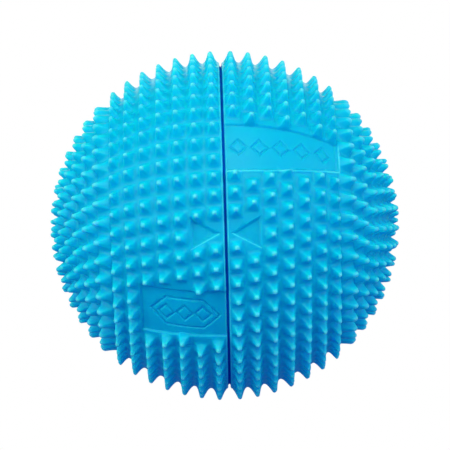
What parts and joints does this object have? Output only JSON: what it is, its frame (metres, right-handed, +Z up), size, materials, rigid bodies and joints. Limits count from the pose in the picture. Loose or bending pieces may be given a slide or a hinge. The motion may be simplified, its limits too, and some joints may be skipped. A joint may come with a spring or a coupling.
{
  "type": "massage ball",
  "caption": "Ball of two spiked half domes that pull apart along one axis, with flat faces, magnets and a smooth release ball nested in bowls inside.",
  "frame": {"origin": "centre of the ball, on the plane where the two halves meet", "axes": "+X along the pull-apart axis, towards the right half; +Z up; the alignment arrows are at the front, towards -Y"},
  "size_m": [0.065, 0.0647, 0.0648],
  "materials": {
    "cover": "soft moulded elastomer, saturated cyan blue, satin",
    "shell": "moulded rigid plastic, dark blue, matte",
    "face_plate": "moulded rigid plastic, mid blue, fine matte texture",
    "magnet": "nickel-plated sintered magnet",
    "screw": "zinc-plated steel",
    "core": "dense smooth elastomer, satin"
  },
  "bodies": {
    "left_half": {"left_cover": "cover", "left_shell": "shell", "left_face_plate": "face_plate", "left_magnet_1": "magnet", "left_magnet_2": "magnet", "left_magnet_3": "magnet", "left_magnet_4": "magnet", "left_magnet_5": "magnet", "left_magnet_6": "magnet", "left_screw_1": "screw", "left_screw_2": "screw", "left_screw_3": "screw"},
    "right_half": {"right_cover": "cover", "right_shell": "shell", "right_face_plate": "face_plate", "right_magnet_1": "magnet", "right_magnet_2": "magnet", "right_magnet_3": "magnet", "right_magnet_4": "magnet", "right_magnet_5": "magnet", "right_magnet_6": "magnet", "right_screw_1": "screw", "right_screw_2": "screw", "right_screw_3": "screw"},
    "core": {"core_ball": "core"}
  },
  "joints": [
    {"name": "right_half_slide", "type": "slide", "parent": "left_half", "child": "right_half", "axis": [1, 0, 0], "range_m": [0, 0.07]},
    {"name": "core_slide", "type": "slide", "parent": "left_half", "child": "core", "axis": [1, 0, 0], "range_m": [0, 0.035]}
  ],
  "couplings": [
    {"joint": "core_slide", "follows": "right_half_slide", "ratio": 0.5}
  ]
}
